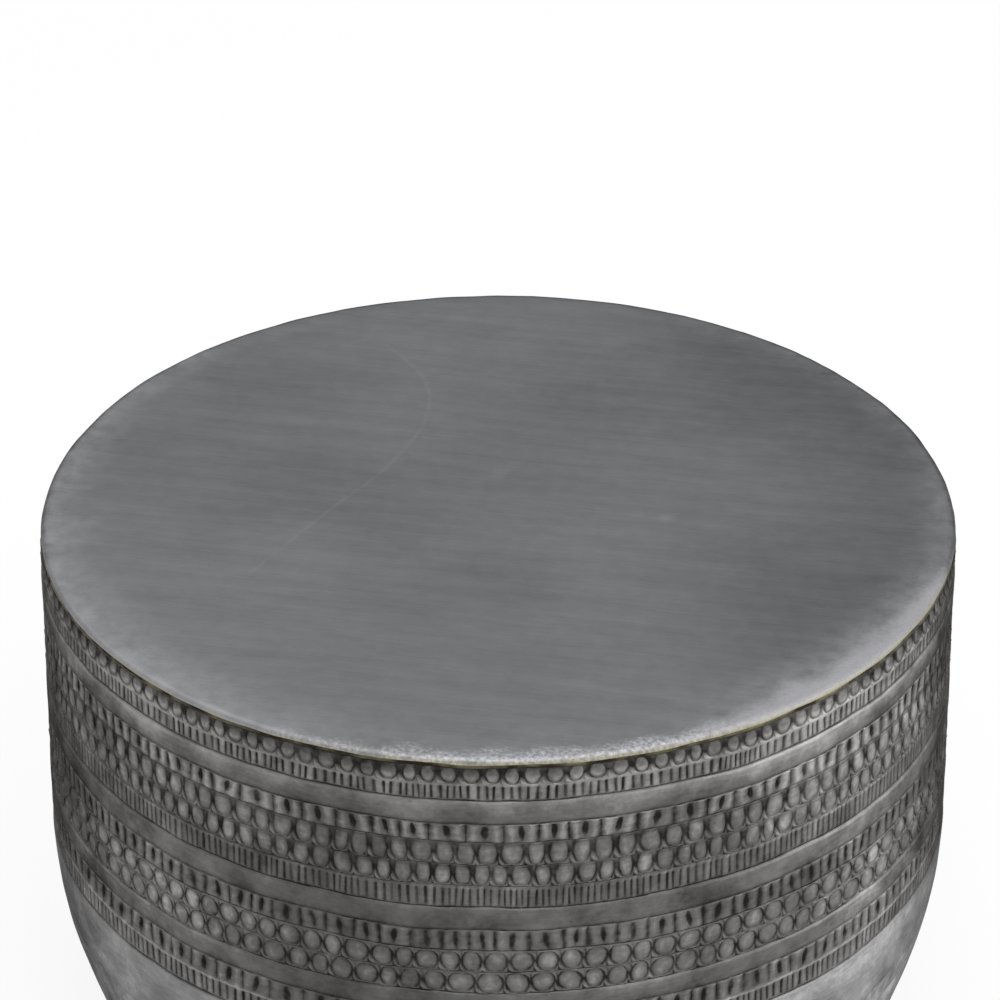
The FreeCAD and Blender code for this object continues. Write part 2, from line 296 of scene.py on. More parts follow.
def sheet_finish(name, rubbed, mottle, satin, grain):
    """Metal of one part of the wall, from the shared waxed sheet with its own values."""
    finish, tree, shader = new_finish(name, Metallic=1.0, Specular_Tint=EDGE_DARKENING)
    # The wax attribute carries dark wax in the hollows together with painted light and shade.
    wax_and_painted_shading = put(tree, "ShaderNodeAttribute", attribute_name="wax_and_painted_shading").outputs["Fac"]
    # Painted light and shade: the rubbed colour is scaled up on the painted pale sides and down on the dark
    # ones.
    painted_side_shading = put(tree, "ShaderNodeAttribute", attribute_name="painted_side_shading").outputs["Fac"]
    rubbed = put(tree, "ShaderNodeVectorMath",
                 {0: rubbed[:3], "Scale": painted_side_shading}, operation="SCALE").outputs[0]
    values = {"Wax_and_painted_shading": wax_and_painted_shading, "Rubbed": rubbed, "Waxed": WAX_AND_SHADE_BLACK, "Mottle": mottle, "Satin": satin}
    sheet = put(tree, "ShaderNodeGroup", values, node_tree=waxed_sheet)
    bump = put(tree, "ShaderNodeBump",
               {"Height": sheet.outputs["Height"], "Strength": grain, "Distance": 0.0006})
    tree.links.new(sheet.outputs["Color"], shader.inputs["Base Color"])
    tree.links.new(sheet.outputs["Roughness"], shader.inputs["Roughness"])
    tree.links.new(bump.outputs["Normal"], shader.inputs["Normal"])
    return finish


band_metal = sheet_finish("plain_band_metal", (0.16, 0.157, 0.153, 1), 1.5, 0.5, 0.35)
bowl_metal = sheet_finish("bowl_metal", (0.28, 0.28, 0.28, 1), 0.7, 0.5, 0.3)


def store_wax_and_painted_shading(piece, shares):
    """Give each point its share of dark wax and of painted shading, by its height and a little uneven."""
    wax_and_painted_shading = piece.data.attributes.new("wax_and_painted_shading", "FLOAT", "POINT")
    for vertex in piece.data.vertices:
        low = [share for height, share in shares if height <= vertex.co.z + 1e-6]
        wax_and_painted_shading.data[vertex.index].value = (low[-1] if low else 0) + 0.4 * noise.noise(vertex.co * 30)


for name, (low, high, film, top_light_bottom_shade, pale) in BANDS.items():
    slope = 1.2 * MILLIMETRE
    crown = 0.12 * MILLIMETRE
    middle = (low + high) / 2
    profile = [
        (WALL_INSIDE, low),
        (ROW_RADIUS - LINE_DEPTH, low),
        (BAND_RADIUS - crown, low + slope),
        (BAND_RADIUS, low + 3 * slope),
        (BAND_RADIUS + crown / 2, middle),
        (BAND_RADIUS + crown, high - 3 * slope),
        (BAND_RADIUS, high - slope),
        (ROW_RADIUS - LINE_DEPTH, high),
        (WALL_INSIDE, high),
    ]
    band = turned_ring(name, profile)
    store_wax_and_painted_shading(band, [
        (low, 0.9),
        (low + slope, film + top_light_bottom_shade),
        (low + 3 * slope, film + 0.6 * top_light_bottom_shade),
        (middle, film),
        (high - 3 * slope, film - 0.6 * top_light_bottom_shade),
        (high - slope, film - top_light_bottom_shade),
        (high, 0.8),
    ])
    hammer(band)
    paint_light_and_shade(band, right=pale)
    finish_piece(band, band_metal, "drum_wall")


PROUD = BAND_RADIUS - ROW_RADIUS
BOWL_WAVE = 0.0005
# Painted light and shade on the bowl: less wax on upward slopes, and painted paler right and left sides.
BOWL_PAINTED_LIGHT_AND_SHADE = {"share": 0.1, "right": 0.48, "left": 0.3}


def bowl_ring(name, low, high, line_above):
    """Plain stretch of the bowl between two heights, with or without a chased line along its top."""
    steps = round((high - low) / 0.006)
    heights = [low + (high - low) * step / steps for step in range(steps + 1)]
    outside = [(field_radius(height) + PROUD, height) for height in heights]
    inside = [(radius - SHEET_GAUGE, height) for radius, height in outside[::-1]]
    shares = [(low, 0.1)]
    if line_above:
        slope = 1.2 * MILLIMETRE
        outside[-1:] = [(field_radius(high - drop) + PROUD, high - drop) for drop in (2 * slope, slope)]
        outside.append((field_radius(high) - LINE_DEPTH, high))
        shares += [(high - 2 * slope, 0.15), (high - slope, 0.4), (high, 1.0)]
    ring = turned_ring(name, outside + inside)
    store_wax_and_painted_shading(ring, shares)
    hammer(ring, BOWL_WAVE)
    paint_light_and_shade(ring, **BOWL_PAINTED_LIGHT_AND_SHADE)
    finish_piece(ring, bowl_metal, "drum_wall")


bowl_ring("bowl_upper", HATCH_ROW[1], BOWL_TOP, True)
bowl_ring("bowl_foot", FOOT_EDGE, HATCH_ROW[0], False)


# Chased rows of the wall: the same sheet, struck from outside with a few punches over pitch. Each
# motif is made once as a stamp and struck round the drum by hand, never twice quite the same.

def read_stamp(stamp):
    """Take the points and faces of a stamp, one motif wide and one row high, and put it away."""
    points = [tuple(vertex.co) for vertex in stamp.data.vertices]
    faces = [tuple(face.vertices) for face in stamp.data.polygons]
    bpy.data.objects.remove(stamp)
    return points, faces


def disc_stamp(wide, tall, upper_groove, upper_field, upper_side, squareness=0.0):
    """A low disc between two curved strokes, above two raised corners that it shares with its neighbours.

    Depths of the strokes and of the field round them run from the disc's side to its top or bottom.
    """
    lower_groove = (-0.95, -0.9, -0.7, -0.1, 0.25)
    lower_field = (-0.95, -0.4, 1.0, 0.6, 0.2)
    lower_side = 1.5
    dome = ((0.4, 1.0), (0.7, 0.6), (0.88, 0.05))
    groove, field, outside = 1.0, 1.13, 1.5
    border = ((0.5, 0.0), (0.5, 0.27), (0.5, 0.5), (0.22, 0.5), (0.0, 0.5))
    sides = 16
    start_fresh()
    bpy.ops.mesh.primitive_circle_add(vertices=sides, radius=dome[0][0], fill_type="NGON")
    stamp = bpy.context.object
    bpy.ops.object.mode_set(mode="EDIT")
    bpy.ops.mesh.select_all(action="SELECT")
    reach = dome[0][0]
    for next_reach in (dome[1][0], dome[2][0], groove, field, outside):
        bpy.ops.mesh.region_to_loop()
        bpy.ops.mesh.extrude_edges_move()
        grow = next_reach / reach
        bpy.ops.transform.resize(value=(grow, grow, 1), center_override=(0, 0, 0))
        bpy.ops.mesh.select_all(action="SELECT")
        reach = next_reach
    bpy.ops.object.mode_set(mode="OBJECT")
    rings = [reach for reach, _ in dome] + [groove, field, outside]
    for vertex in stamp.data.vertices:
        ring = min(rings, key=lambda reach: abs(reach - vertex.co.xy.length))
        to_right = math.copysign(1, vertex.co.x) if abs(vertex.co.x) > 1e-4 else 0
        to_top = math.copysign(1, vertex.co.y) if abs(vertex.co.y) > 1e-4 else 0
        steepness = round(math.degrees(math.atan2(abs(vertex.co.y), abs(vertex.co.x))) * sides / 360)
        bulge = max(abs(vertex.co.x), abs(vertex.co.y)) / vertex.co.xy.length
        swell = bulge ** -squareness if to_top > 0 else 1
        across = min(max(0.5 + wide * vertex.co.x * swell, 0.015), 0.985)
        margin = 0.03 if ring == field else 0.05 if ring == groove else 0.08
        up = min(max(0.5 + tall * vertex.co.y * swell, margin), 1 - margin)
        if ring == outside:
            across = 0.5 + to_right * border[steepness][0]
            up = 0.5 + to_top * border[steepness][1]
            rise = lower_groove[0] if to_top == 0 else upper_side if to_top > 0 else lower_side
        elif ring == field:
            rise = (upper_field if to_top > 0 else lower_field)[steepness]
        elif ring == groove:
            rise = (upper_groove if to_top > 0 else lower_groove)[steepness]
        else:
            rise = dict(dome)[ring]
        vertex.co = (across, up, rise * MILLIMETRE)
    return read_stamp(stamp)


def grid_stamp(columns, levels, heights, pit=None):
    """Stamp on a grid that is the same to both sides; columns and heights are given up to its middle.

    A pit narrows or widens its two columns next to the middle, level by level.
    """
    half = len(columns) - 1
    heights = [row + row[-2::-1] for row in heights]
    start_fresh()
    bpy.ops.mesh.primitive_grid_add(x_subdivisions=2 * half, y_subdivisions=len(levels) - 1, size=1)
    stamp = bpy.context.object
    for vertex in stamp.data.vertices:
        column = round((vertex.co.x + 0.5) * 2 * half)
        level = round((vertex.co.y + 0.5) * (len(levels) - 1))
        step = half - abs(column - half)
        across = columns[step]
        if pit and half - 3 < step < half:
            across = 0.5 - (0.5 - across) * pit[level]
        if column > half:
            across = 1 - across
        vertex.co = (across, levels[level], heights[level][column] * MILLIMETRE)
    return read_stamp(stamp)


def bar_stamp(pit_low, pit_high):
    """Two round pillars, parted by a thin cut line and by a deep almond-shaped pit between two levels."""
    middle = (pit_low + pit_high) / 2
    columns = (0, 0.04, 0.12, 0.21, 0.39, 0.435, 0.5)
    levels = (0, 0.08, pit_low, (pit_low + middle) / 2, middle, (middle + pit_high) / 2, pit_high, 0.94, 1)
    edge = (-0.6,) * len(columns)
    foot = (-0.6, -0.1, 0.5, 0.7, 0.2, 0.1, 0.0)
    head = (-0.4, 0.1, 0.8, 1.0, 0.4, 0.3, 0.2)
    end = (-0.9, -0.3, 0.5, 0.9, 0.1, -0.3, -0.6)
    side = (-0.95, -0.35, 0.5, 0.9, 0.0, -1.0, -1.2)
    deep = (-0.95, -0.35, 0.5, 0.9, -0.05, -1.1, -1.3)
    heights = (edge, foot, end, side, deep, side, end, head, edge)
    return grid_stamp(columns, levels, heights, pit=(1, 1, 0.55, 0.95, 1.1, 1, 0.7, 1, 1))


def dash_stamp(ledge, depth):
    """One narrow pillar, with half of the short cut dash that parts it from each neighbour."""
    columns = (0, 0.1, 0.22, 0.5)
    levels = (0, 0.08, 0.18, 0.82, 0.93, 1)
    edge = (-0.6,) * len(columns)
    foot = (ledge - 0.2, ledge, 0.3 + ledge / 2, 0.4 + ledge / 2)
    middle = (-depth, -0.7 * depth, 0.55, 0.8)
    head = (0.5, 0.65, 0.8, 0.9)
    return grid_stamp(columns, levels, (edge, foot, middle, middle, head, edge))


def hatch_stamp():
    """Plain sheet with one short cut in it."""
    columns = (0, 0.4, 0.5)
    levels = (0, 0.2, 0.35, 0.65, 0.8, 1)
    plain = (0,) * len(columns)
    cut = (0, -0.3, -1.7)
    return grid_stamp(columns, levels, (plain, plain, cut, cut, plain, plain))


row_metal = sheet_finish("chased_row_metal", (0.176, 0.172, 0.167, 1), 1.4, 0.54, 0.3)
FLATTENING = 0.65         # share of a stamp's relief that shows on the wall
WAVER = 0.034             # shares of a motif by which a blow wanders
WAVER_SEED = 7            # vector noise takes its seed from the clock unless one is set
STAIN = 0.35
LIP_SHADOW = 6 * MILLIMETRE
noise.seed_set(WAVER_SEED)


def strike_row(name, stamp, count, low, high, seed, uneven=0.18, lean=0.0008, depths=(0.75, 1.15),
               low_edge=-LINE_DEPTH, high_edge=-LINE_DEPTH, base=0.0, film=0.0, finish=row_metal,
               wave=0.0003, painted_light_and_shade=None):
    """Strike a stamp round the drum between two heights, then close the row's back."""
    points, faces = stamp
    chance = random.Random(seed)
    widths = [1 + uneven * chance.uniform(-1, 1) for _ in range(count)]
    share = 2 * math.pi / sum(widths)
    edges = [share * sum(widths[:index]) for index in range(count + 1)]
    leans = [chance.uniform(-lean, lean) / ROW_RADIUS for _ in range(count)]
    blows = [chance.uniform(*depths) for _ in range(count)]
    spots, sides, wax_and_painted_shading = [], [], []
    for index in range(count):
        following = (index + 1) % count
        grow = chance.uniform(0.9, 1.04)
        stretch = chance.uniform(0.93, 1.03)
        shift = chance.uniform(-0.03, 0.03)
        skew = chance.uniform(-0.16, 0.16)
        egg = chance.uniform(-0.2, 0.2)
        tilt = chance.uniform(-0.5, 0.5) * MILLIMETRE
        smear = chance.uniform(-0.15, 0.15)
        first = len(spots)
        for across, up, height in points:
            inside = 4 * across * (1 - across)
            blow = blows[index] + (blows[following] - blows[index]) * across
            rise = base + height * blow + tilt * (across - 0.5) * inside
            if up in (0, 1):
                rise = high_edge if up else low_edge
            if 0 < across < 1 and 0 < up < 1:
                waver = noise.noise_vector(Vector((9 * across, 9 * up, index + seed))) * WAVER
                narrowed = (across - 0.5) * grow * (1 + egg * (up - 0.5))
                moved = (shift + skew * (up - 0.5)) * inside
                across = min(max(0.5 + narrowed + moved + waver.x, 0.012), 0.988)
                up = min(max(0.5 + (up - 0.5) * stretch + waver.y, 0.02), 0.98)
            left = edges[index] + leans[index] * (up - 0.5)
            right = edges[index + 1] + leans[following] * (up - 0.5)
            angle = left + (right - left) * across
            level = low + (high - low) * up
            radius = field_radius(level) + (rise if up in (0, 1) else base + FLATTENING * (rise - base))
            spots.append((radius * math.cos(angle), radius * math.sin(angle), level))
            # Painted shadow under the lip, with wax in the tuck: the top of the rows darkens towards the lip.
            lip_shadow_and_wax = 1.3 - (LIP_HEIGHT - level) / LIP_SHADOW
            ridge = up in (0, 1) and rise > base
            deep = wax_at(rise)
            kept = deep + (film + smear * inside) * (1 - min(max(deep, 0), 1))
            stain = STAIN * noise.noise(Vector(spots[-1]) * 240)
            wax_and_painted_shading.append(max(-0.5 if ridge else kept, lip_shadow_and_wax) + stain)
        sides += [tuple(first + corner for corner in face) for face in faces]
    mesh = bpy.data.meshes.new(name)
    mesh.from_pydata(spots, [], sides)
    mesh.attributes.new("wax_and_painted_shading", "FLOAT", "POINT").data.foreach_set("value", wax_and_painted_shading)
    row = bpy.data.objects.new(name, mesh)
    bpy.context.collection.objects.link(row)
    start_fresh()
    row.select_set(True)
    bpy.context.view_layer.objects.active = row
    bpy.ops.object.mode_set(mode="EDIT")
    bpy.ops.mesh.select_mode(type="EDGE")
    bpy.ops.mesh.select_all(action="SELECT")
    bpy.ops.mesh.remove_doubles(threshold=1e-5)
    bpy.ops.mesh.select_all(action="DESELECT")
    bpy.ops.mesh.select_non_manifold(use_wire=False, use_multi_face=False, use_non_contiguous=False,
                                     use_verts=False)
    bpy.ops.mesh.extrude_edges_move()
    row.update_from_editmode()
    behind = [vertex.index for vertex in mesh.vertices if vertex.select]
    bpy.ops.mesh.bridge_edge_loops()
    bpy.ops.object.mode_set(mode="OBJECT")
    for index in behind:
        spot = mesh.vertices[index].co
        spot.xy *= (field_radius(spot.z) - ROW_RADIUS + WALL_INSIDE) / spot.xy.length
    bpy.ops.object.mode_set(mode="EDIT")
    bpy.ops.mesh.select_all(action="SELECT")
    bpy.ops.mesh.normals_make_consistent(inside=False)
    bpy.ops.object.mode_set(mode="OBJECT")
    hammer(row, wave)
    paint_light_and_shade(row, **(painted_light_and_shade or {}))
    finish_piece(row, finish, "drum_wall")


cone_discs = disc_stamp(0.37, 0.5, (-0.95, -0.95, -0.7, 0.1, 0.4), (-0.95, -0.95, -0.95, -0.5, 0.2), -0.95)
hung_discs = disc_stamp(0.4, 0.56, (-0.95, -0.85, -0.5, 0.1, 0.4), (-0.95, -0.8, -0.6, 0.0, 0.3), -0.55,
                        squareness=0.25)
ringed_discs = disc_stamp(0.43, 0.54, (-0.95, -0.9, -0.7, -0.1, 0.25), (-0.95, -0.4, 0.65, 0.4, 0.1), 0.6)
dashes = dash_stamp(0.1, 0.95)
soft_dashes = dash_stamp(0.1, 0.6)
ledged_dashes = dash_stamp(0.6, 0.95)
high_pits = bar_stamp(0.2, 0.92)
mid_pits = bar_stamp(0.13, 0.87)
RIDGE = 0.0006            # the raised line left between two rows that were struck close together
strike_row("row_discs_rim", cone_discs, 148, 0.4291, 0.4428, seed=11, uneven=0.15, low_edge=RIDGE,
           film=-0.28)
strike_row("row_dashes_rim", dashes, 365, 0.4152, 0.4291, seed=12, uneven=0.38, depths=(0.6, 1.1),
           high_edge=RIDGE, film=-0.38)
strike_row("row_bars_upper", high_pits, 90, 0.3796, 0.3957, seed=13, film=-0.44)
strike_row("row_discs_upper", hung_discs, 135, 0.3597, 0.3796, seed=14, film=-0.08)
strike_row("row_discs_second", hung_discs, 147, 0.3414, 0.3597, seed=15, film=-0.08)
strike_row("row_dashes_upper", soft_dashes, 410, 0.3224, 0.3414, seed=16, uneven=0.25, depths=(0.7, 1.2),
           film=0.14)
strike_row("row_bars_middle", mid_pits, 100, 0.2842, 0.3027, seed=17, film=0.14)
strike_row("row_discs_third", ringed_discs, 121, 0.2658, 0.2842, seed=18)
strike_row("row_discs_fourth", ringed_discs, 123, 0.2475, 0.2658, seed=19)
strike_row("row_bars_lower", mid_pits, 92, 0.2116, 0.2298, seed=20, low_edge=RIDGE)
strike_row("row_dashes_lower", ledged_dashes, 350, 0.1944, 0.2116, seed=21, uneven=0.3, depths=(0.7, 1.1),
           high_edge=RIDGE)
strike_row("row_hatch_foot", hatch_stamp(), 260, *HATCH_ROW, seed=22, uneven=0.6, lean=0.006,
           depths=(-0.6, 1.0), low_edge=PROUD, high_edge=PROUD, base=PROUD, film=0.1, finish=bowl_metal,
           wave=BOWL_WAVE, painted_light_and_shade=BOWL_PAINTED_LIGHT_AND_SHADE)


# Top: a disc of sheet, brushed from side to side and waxed dark, its edge hammered down over the
# wall and then filed and burnished pale along the bend.

RIM_RADIUS = 0.3487
RIM_ROUNDING = 0.004
TABLE_HEIGHT = 0.45
TOP_GAUGE = 0.0015
TOP_SIDES = 320
TOP_HUB = 0.02            # radius of the fan in the middle of the mesh
TOP_RINGS = 26
BEND_STEPS = 6
BEATEN_FROM = 0.33        # the edge is beaten from here outwards, fully after the width below
BEATEN_WIDTH = 0.014

bend = RIM_RADIUS - RIM_ROUNDING
bend_height = TABLE_HEIGHT - RIM_ROUNDING
top_profile = [(TOP_HUB + (bend - TOP_HUB) * step / TOP_RINGS, TABLE_HEIGHT) for step in range(TOP_RINGS + 1)]
for step in range(1, BEND_STEPS + 1):
    angle = math.radians(90 * step / BEND_STEPS)
    out, up = RIM_ROUNDING * math.sin(angle), RIM_ROUNDING * math.cos(angle)
    top_profile.append((bend + out, bend_height + up))
top_profile += [
    (RIM_RADIUS, LIP_HEIGHT + 0.0004),
    (RIM_RADIUS - 0.0005, LIP_HEIGHT),
    (RIM_RADIUS - TOP_GAUGE, LIP_HEIGHT),
    (RIM_RADIUS - TOP_GAUGE, bend_height),
    (bend, TABLE_HEIGHT - TOP_GAUGE),
    (TOP_HUB, TABLE_HEIGHT - TOP_GAUGE),
]
start_fresh()
radius, height = top_profile[0]
bpy.ops.mesh.primitive_circle_add(vertices=TOP_SIDES, radius=radius, location=(0, 0, height),
                                  fill_type="TRIFAN")
bpy.ops.object.transform_apply(location=True)
table_top = bpy.context.object
table_top.name = "table_top"
bpy.ops.object.mode_set(mode="EDIT")
bpy.ops.mesh.select_mode(type="EDGE")
bpy.ops.mesh.select_all(action="SELECT")
bpy.ops.mesh.region_to_loop()
for next_radius, next_height in top_profile[1:]:
    bpy.ops.mesh.extrude_edges_move(TRANSFORM_OT_translate={"value": (0, 0, next_height - height)})
    bpy.ops.transform.resize(value=(next_radius / radius,) * 2 + (1,), center_override=(0, 0, next_height))
    radius, height = next_radius, next_height
bpy.ops.mesh.edge_face_add()
bpy.ops.mesh.select_all(action="SELECT")
bpy.ops.mesh.normals_make_consistent(inside=False)
bpy.ops.object.mode_set(mode="OBJECT")


def lip_waver(spot):
    """Rise and fall of the lip, which was hammered down by eye."""
    return 0.0013 * noise.noise(Vector((spot.x, spot.y, 0)) * 26)


SMUDGES = ((0.0014, 0.057, 0.012), (0.1276, -0.0111, 0.01))
DENTS = ((-0.16, 0.12, 0.02, 0.0003), (0.19, 0.15, 0.025, 0.0003), (0.05, -0.2, 0.03, 0.0004))
for vertex in table_top.data.vertices:
    spot = vertex.co
    reach = spot.xy.length
    sag = 0.0006 * noise.noise(spot * 7) + 0.0002 * noise.noise(spot * 30)
    for across, along, width, depth in DENTS:
        sag -= depth * math.exp(-((spot.x - across) ** 2 + (spot.y - along) ** 2) / width ** 2)
    beaten = min(max((reach - BEATEN_FROM) / BEATEN_WIDTH, 0), 1)
    knock = 0.0003 * noise.noise(spot * 70) + 0.0005 * noise.noise(spot * 21)
    turned_down = min((TABLE_HEIGHT - spot.z) / RIM_ROUNDING, 1) if reach > bend else 0
    lift = sag * (1 - beaten) + lip_waver(spot) * turned_down
    vertex.co = spot + Vector((0, 0, lift)) + spot.normalized() * knock * beaten

top_metal, tree, shader = new_finish("brushed_top_metal", Metallic=1.0, Specular_Tint=(0.27, 0.27, 0.28, 1))
place = put(tree, "ShaderNodeTexCoord").outputs["Object"]
BRUSHED = (0, 0, math.radians(-11))
combed = put(tree, "ShaderNodeMapping", {"Vector": place, "Rotation": BRUSHED, "Scale": (1, 0.1, 1)},
             vector_type="TEXTURE").outputs["Vector"]
streaks = put(tree, "ShaderNodeTexNoise",
              {"Vector": combed, "Scale": 7.0, "Detail": 6.0, "Roughness": 0.6}).outputs["Fac"]
hair_map = put(tree, "ShaderNodeMapping", {"Vector": place, "Rotation": BRUSHED, "Scale": (1, 0.03, 1)},
               vector_type="TEXTURE").outputs["Vector"]
hairs = put(tree, "ShaderNodeTexNoise", {"Vector": hair_map, "Scale": 30.0, "Detail": 3.0}).outputs["Fac"]
clouds = put(tree, "ShaderNodeTexNoise", {"Vector": place, "Scale": 6.0, "Detail": 4.0}).outputs["Fac"]
streak_tone = put(tree, "ShaderNodeMapRange",
                  {"Value": streaks, "To Min": -0.16, "To Max": 0.16}).outputs["Result"]
hair_tone = put(tree, "ShaderNodeMapRange",
                {"Value": hairs, "To Min": -0.1, "To Max": 0.1}).outputs["Result"]
cloud_tone = put(tree, "ShaderNodeMapRange",
                 {"Value": clouds, "To Min": 0.7, "To Max": 1.3}).outputs["Result"]
tone = put(tree, "ShaderNodeMath", {0: streak_tone, 1: hair_tone}, operation="ADD").outputs[0]
tone = put(tree, "ShaderNodeMath", {0: tone, 1: cloud_tone}, operation="ADD").outputs[0]
parts = put(tree, "ShaderNodeSeparateXYZ", {0: place}).outputs
# The top grows darker towards the right and paler towards the front.
darker_to_right = put(tree, "ShaderNodeMapRange", {"Value": parts["X"], "From Min": 0.02, "From Max": 0.36,
                                          "To Min": 0.02, "To Max": -0.24}, interpolation_type="SMOOTHSTEP")
tone = put(tree, "ShaderNodeMath", {0: tone, 1: darker_to_right.outputs["Result"]}, operation="ADD").outputs[0]
level = put(tree, "ShaderNodeCombineXYZ", {"X": parts["X"], "Y": parts["Y"]}).outputs[0]
scuffs = put(tree, "ShaderNodeTexNoise",
             {"Vector": place, "Scale": 75.0, "Detail": 6.0, "Roughness": 0.65}).outputs["Fac"]
mottle = put(tree, "ShaderNodeMapRange",
             {"Value": scuffs, "To Min": -0.12, "To Max": 0.12}).outputs["Result"]
tone = put(tree, "ShaderNodeMath", {0: tone, 1: mottle}, operation="ADD").outputs[0]
paler_to_front = put(tree, "ShaderNodeMapRange",
            {"Value": parts["Y"], "From Min": -0.1, "From Max": -0.32, "To Max": 0.1})
tone = put(tree, "ShaderNodeMath", {0: tone, 1: paler_to_front.outputs["Result"]}, operation="ADD").outputs[0]
for across, along, width in SMUDGES:
    apart = put(tree, "ShaderNodeVectorMath",
                {0: level, 1: (across, along, 0)}, operation="DISTANCE").outputs["Value"]
    pale = put(tree, "ShaderNodeMapRange",
               {"Value": apart, "From Min": width, "From Max": 0.0, "To Max": 0.13},
               interpolation_type="SMOOTHSTEP").outputs["Result"]
    tone = put(tree, "ShaderNodeMath", {0: tone, 1: pale}, operation="ADD").outputs[0]
face = put(tree, "ShaderNodeVectorMath",
           {0: (0.221, 0.225, 0.232), "Scale": tone}, operation="SCALE").outputs[0]

# The pale bend is partly burnish where the table is handled and partly painted highlight: it is strongest
# along the front and at the front right, and runs out to the right and the back.
reach = put(tree, "ShaderNodeVectorMath", {0: level}, operation="LENGTH").outputs["Value"]
# The back half of the bend is painted dark, as shade along the far edge.
back_shade = put(tree, "ShaderNodeMapRange",
              {"Value": parts["Y"], "From Min": -0.12, "From Max": 0.05, "To Max": 0.7}).outputs["Result"]
in_bend = put(tree, "ShaderNodeMapRange",
              {"Value": reach, "From Min": 0.3425, "From Max": 0.3465}).outputs["Result"]
in_bend = put(tree, "ShaderNodeMath", {0: in_bend, 1: back_shade}, operation="MULTIPLY").outputs[0]
face = put(tree, "ShaderNodeMix", {0: in_bend, 6: face, 7: WAX_AND_SHADE_BLACK}, data_type="RGBA").outputs[2]
filing = put(tree, "ShaderNodeTexNoise",
             {"Vector": place, "Scale": 300.0, "Detail": 5.0, "Roughness": 0.65}).outputs["Fac"]
patches = put(tree, "ShaderNodeTexNoise", {"Vector": place, "Scale": 22.0, "Detail": 6.0}).outputs["Fac"]
ragged = put(tree, "ShaderNodeMapRange",
             {"Value": filing, "To Min": -0.01, "To Max": 0.01}).outputs["Result"]
edge_shift = put(tree, "ShaderNodeMapRange",
                 {"Value": patches, "To Min": -0.024, "To Max": 0.024}).outputs["Result"]
front_wear_and_highlight = put(tree, "ShaderNodeMapRange", {"Value": parts["Y"], "From Min": 0.2, "From Max": -0.2,
                                           "To Min": -0.02, "To Max": -0.002}).outputs["Result"]
back_right_reach = put(tree, "ShaderNodeMath",
                  {0: parts["X"], 1: 0.6, 2: parts["Y"]}, operation="MULTIPLY_ADD").outputs[0]
back_right_dimming = put(tree, "ShaderNodeMapRange",
                {"Value": back_right_reach, "From Min": 0.03, "From Max": 0.2, "To Max": -0.014})
to_corner = put(tree, "ShaderNodeVectorMath",
                {0: level, 1: (0.74, -0.67, 0)}, operation="DOT_PRODUCT").outputs["Value"]
corner_wear_and_highlight = put(tree, "ShaderNodeMapRange",
                {"Value": to_corner, "From Min": 0.29, "From Max": 0.325, "To Max": 0.012})
worn = put(tree, "ShaderNodeMath", {0: edge_shift, 1: front_wear_and_highlight}, operation="ADD").outputs[0]
worn = put(tree, "ShaderNodeMath", {0: worn, 1: back_right_dimming.outputs["Result"]}, operation="ADD").outputs[0]
worn = put(tree, "ShaderNodeMath", {0: worn, 1: reach}, operation="ADD").outputs[0]
rubbed = put(tree, "ShaderNodeMath",
             {0: worn, 1: corner_wear_and_highlight.outputs["Result"]}, operation="ADD").outputs[0]
in_front = put(tree, "ShaderNodeMapRange",
               {"Value": parts["Y"], "From Min": -0.28, "From Max": -0.33, "To Min": 0.15},
               interpolation_type="SMOOTHSTEP").outputs["Result"]
ragged = put(tree, "ShaderNodeMath", {0: ragged, 1: in_front}, operation="MULTIPLY").outputs[0]
left_dimming = put(tree, "ShaderNodeMapRange",
             {"Value": parts["X"], "From Min": -0.06, "From Max": -0.16, "To Max": -0.01})
filed = put(tree, "ShaderNodeMath", {0: worn, 1: ragged}, operation="ADD").outputs[0]
filed = put(tree, "ShaderNodeMath", {0: filed, 1: left_dimming.outputs["Result"]}, operation="ADD").outputs[0]
filed = put(tree, "ShaderNodeMath",
            {0: filed, 1: corner_wear_and_highlight.outputs["Result"]}, operation="ADD").outputs[0]
faint = put(tree, "ShaderNodeMapRange",
            {"Value": rubbed, "From Min": 0.285, "From Max": 0.352, "To Max": 0.5},
            interpolation_type="SMOOTHSTEP").outputs["Result"]
broken = put(tree, "ShaderNodeMapRange",
             {"Value": scuffs, "From Min": 0.3, "From Max": 0.7, "To Min": 0.35, "To Max": 1.35})
faint = put(tree, "ShaderNodeMath",
            {0: faint, 1: broken.outputs["Result"]}, operation="MULTIPLY").outputs[0]
off_side = put(tree, "ShaderNodeMath", {0: parts["X"]}, operation="ABSOLUTE").outputs[0]
to_sides = put(tree, "ShaderNodeMapRange",
               {"Value": off_side, "From Min": 0.1, "From Max": 0.27, "To Min": 0.3},
               interpolation_type="SMOOTHSTEP").outputs["Result"]
faint = put(tree, "ShaderNodeMath", {0: faint, 1: to_sides}, operation="MULTIPLY").outputs[0]
bright = put(tree, "ShaderNodeMapRange",
             {"Value": filed, "From Min": 0.33, "From Max": 0.349, "To Max": 0.85},
             interpolation_type="SMOOTHSTEP").outputs["Result"]
burnish = put(tree, "ShaderNodeMath", {0: faint, 1: bright}, operation="ADD").outputs[0]
brassy = put(tree, "ShaderNodeMapRange",
             {"Value": parts["Z"], "From Min": 0.4492, "From Max": 0.4468, "To Max": 0.85})
rim_tint = put(tree, "ShaderNodeMix",
               {0: brassy.outputs["Result"], 6: (0.47, 0.47, 0.49, 1), 7: (0.46, 0.43, 0.32, 1)},
               data_type="RGBA").outputs[2]
file_marks = put(tree, "ShaderNodeMapRange", {"Value": filing, "From Min": 0.3, "From Max": 0.7,
                                              "To Min": -0.5, "To Max": 0.5}).outputs["Result"]
